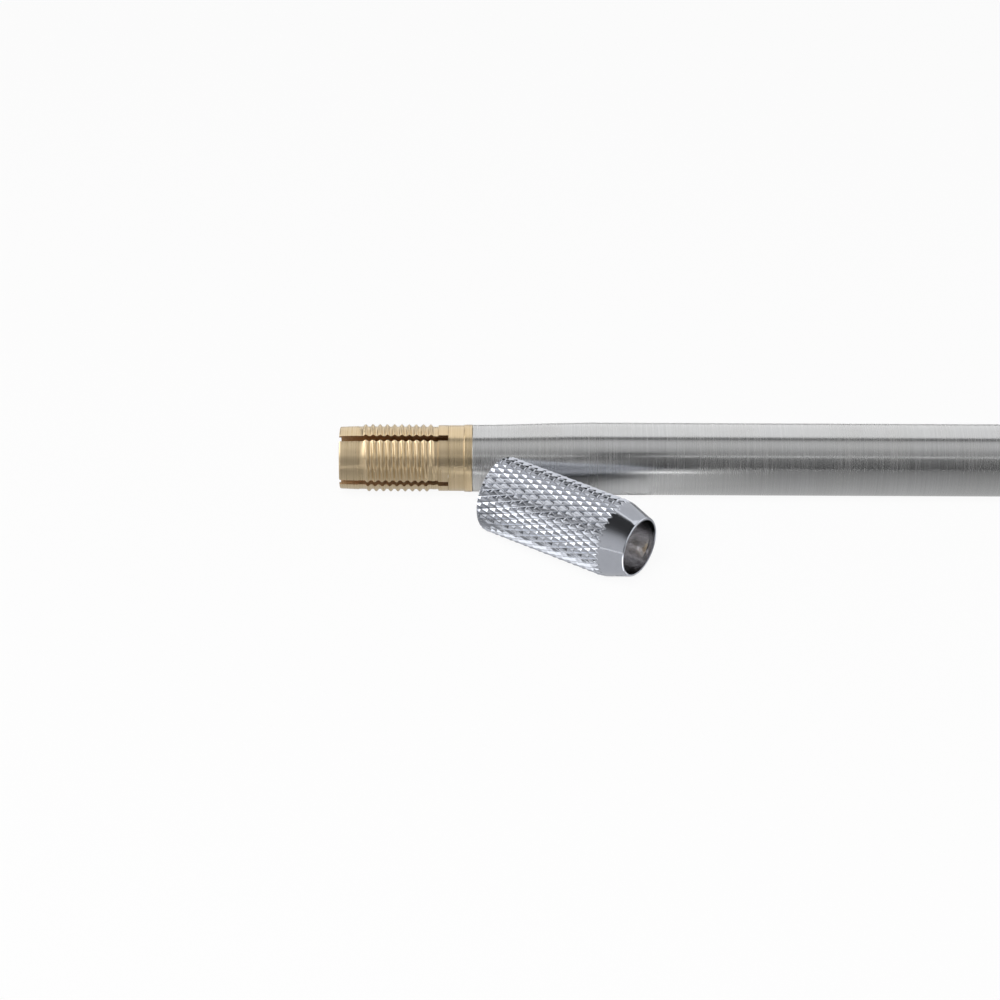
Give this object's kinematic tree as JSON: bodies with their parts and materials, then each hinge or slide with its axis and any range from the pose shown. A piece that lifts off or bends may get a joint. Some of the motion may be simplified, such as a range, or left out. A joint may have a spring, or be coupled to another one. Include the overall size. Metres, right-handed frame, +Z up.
{
  "type": "pencil extender",
  "caption": "Steel tube handle with a slotted, threaded brass collet that holds a pencil stub, and a knurled clamping nut lying beside it.",
  "frame": {"origin": "centre of the mouth of the collet, on the axis of the tube", "axes": "+X along the tube away from the mouth of the collet, +Z up from the table that it lies on, so that the nut lies on the -Y side"},
  "size_m": [0.1393, 0.0314, 0.0107],
  "materials": {
    "steel": "brushed round the tube, satin",
    "plug_steel": "turned and polished",
    "brass": "turned, unpolished",
    "chrome": "bright chrome plate over a diamond knurl"
  },
  "bodies": {
    "handle": {"tube": "steel", "end_plug": "plug_steel", "collet_body": "brass"},
    "jaw_1": {"collet_jaw_1": "brass"},
    "jaw_2": {"collet_jaw_2": "brass"},
    "jaw_3": {"collet_jaw_3": "brass"},
    "jaw_4": {"collet_jaw_4": "brass"},
    "nut": {"clamping_nut": "chrome"}
  },
  "joints": [
    {"name": "jaw_1_flex", "type": "hinge", "parent": "handle", "child": "jaw_1", "pos_m": [0.015, 0.00356, -0.00159], "axis": [0, 0.4067, 0.9135], "range_deg": [0, 1.5], "stiffness_Nm_per_rad": 0.002},
    {"name": "jaw_2_flex", "type": "hinge", "parent": "handle", "child": "jaw_2", "pos_m": [0.015, 0.00159, 0.00356], "axis": [0, -0.9135, 0.4067], "range_deg": [0, 1.5], "stiffness_Nm_per_rad": 0.002},
    {"name": "jaw_3_flex", "type": "hinge", "parent": "handle", "child": "jaw_3", "pos_m": [0.015, -0.00356, 0.00159], "axis": [0, -0.4067, -0.9135], "range_deg": [0, 1.5], "stiffness_Nm_per_rad": 0.002},
    {"name": "jaw_4_flex", "type": "hinge", "parent": "handle", "child": "jaw_4", "pos_m": [0.015, -0.00159, -0.00356], "axis": [0, 0.9135, -0.4067], "range_deg": [0, 1.5], "stiffness_Nm_per_rad": 0.002},
    {"name": "nut_lift", "type": "slide", "parent": "handle", "child": "nut", "axis": [0, 0, 1], "range_m": [0, 0.04]}
  ],
  "couplings": [
    {"joint": "jaw_2_flex", "follows": "jaw_1_flex", "ratio": 1},
    {"joint": "jaw_3_flex", "follows": "jaw_1_flex", "ratio": 1},
    {"joint": "jaw_4_flex", "follows": "jaw_1_flex", "ratio": 1}
  ]
}
